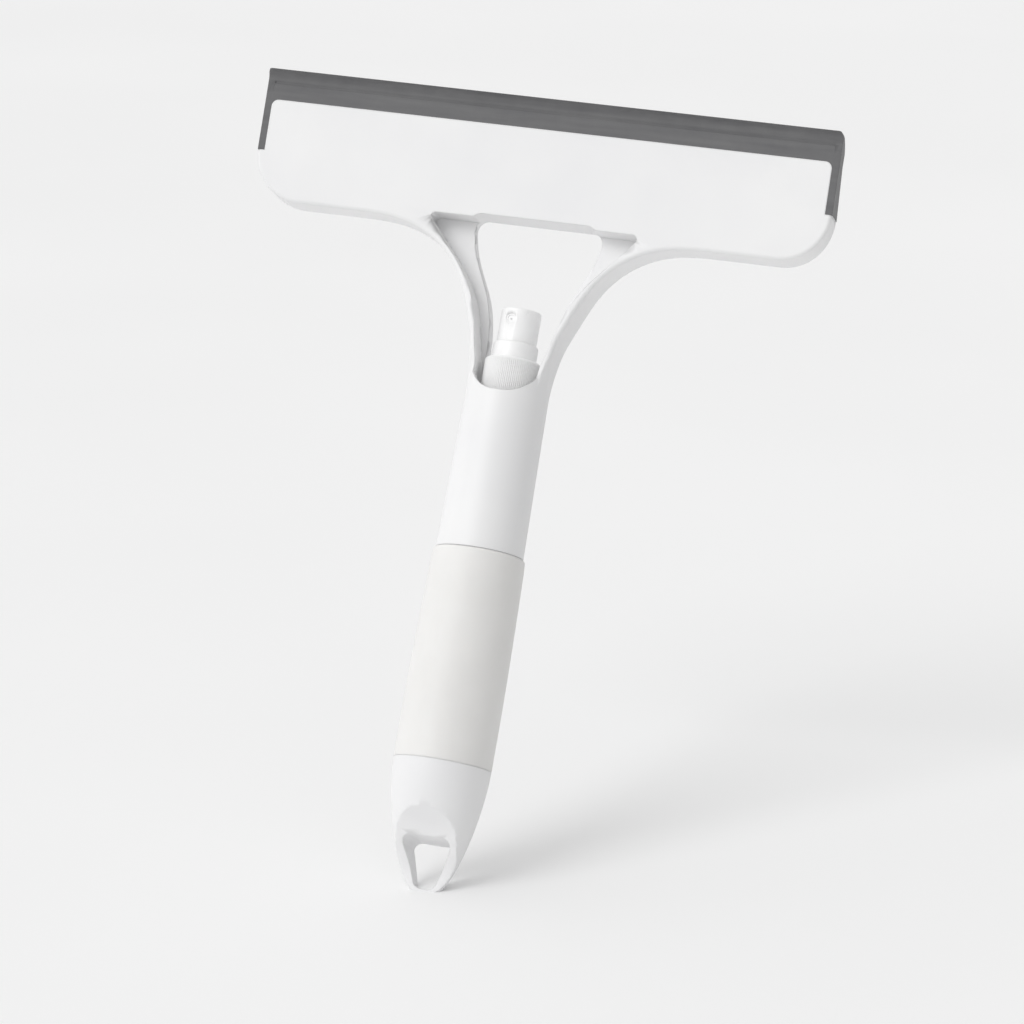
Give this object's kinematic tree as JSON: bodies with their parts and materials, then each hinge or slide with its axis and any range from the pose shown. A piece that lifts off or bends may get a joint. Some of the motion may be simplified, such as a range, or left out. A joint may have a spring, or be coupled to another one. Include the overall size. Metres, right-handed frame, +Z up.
{
  "type": "window squeegee",
  "caption": "Hand squeegee: wide flat head with a leaning rubber wiping edge, Y-shaped yoke, round handle that holds a spray bottle and its pump, looped tail.",
  "frame": {"origin": "lowest point of the handle's looped tail, on the handle's axis", "axes": "+Z up the handle to the wiping edge, wiping side faces -Y, the blade runs along X"},
  "size_m": [0.25, 0.041, 0.3366],
  "materials": {
    "white_plastic": "fine satin moulded ABS",
    "grey_rubber": "matte grey thermoplastic rubber",
    "frosted_bottle": "frosted translucent polypropylene",
    "pump_plastic": "smooth moulded polypropylene",
    "pump_inner": "natural moulded polyethylene",
    "seal_rubber": "soft pale seal rubber",
    "spring_steel": "drawn stainless wire",
    "ball_steel": "polished stainless ball",
    "clear_tube": "translucent polyethylene tube"
  },
  "bodies": {
    "bottle": {"bottle": "frosted_bottle", "tail_cap": "white_plastic", "grip_ring": "seal_rubber"},
    "frame": {"head_frame": "white_plastic", "head_rear_cover": "white_plastic", "wiper_blade": "grey_rubber"},
    "pump": {"pump_housing": "pump_inner", "pump_turret": "pump_plastic", "neck_gasket": "seal_rubber", "stem_seal": "seal_rubber", "dip_tube": "clear_tube", "return_spring": "spring_steel"},
    "collar": {"closure_collar": "pump_plastic"},
    "plunger": {"pump_stem": "pump_inner", "pump_piston": "pump_inner", "spring_plunger": "pump_inner"},
    "button": {"actuator_button": "pump_plastic", "nozzle_insert": "pump_plastic"},
    "ball": {"inlet_ball": "ball_steel"}
  },
  "joints": [
    {"name": "frame_slide", "type": "slide", "parent": "bottle", "child": "frame", "axis": [0, 0, 1], "range_m": [0, 0.12]},
    {"name": "pump_lift", "type": "slide", "parent": "bottle", "child": "pump", "axis": [0, 0, 1], "range_m": [0, 0.00476]},
    {"name": "collar_turn", "type": "hinge", "parent": "pump", "child": "collar", "pos_m": [0, 0, 0.2175], "axis": [0, 0, 1], "range_deg": [0, 540]},
    {"name": "button_press", "type": "slide", "parent": "pump", "child": "plunger", "axis": [0, 0, -1], "range_m": [0, 0.005], "stiffness_N_per_m": 800, "springref_m": -0.003, "deforming": ["return_spring"]},
    {"name": "button_turn", "type": "hinge", "parent": "plunger", "child": "button", "pos_m": [0, 0, 0.24], "axis": [0, 0, 1], "continuous": true},
    {"name": "ball_lift", "type": "slide", "parent": "pump", "child": "ball", "axis": [0, 0, 1], "range_m": [0, 0.0008]}
  ],
  "couplings": [
    {"joint": "collar_turn", "follows": "pump_lift", "rad_per_m": 1979}
  ]
}
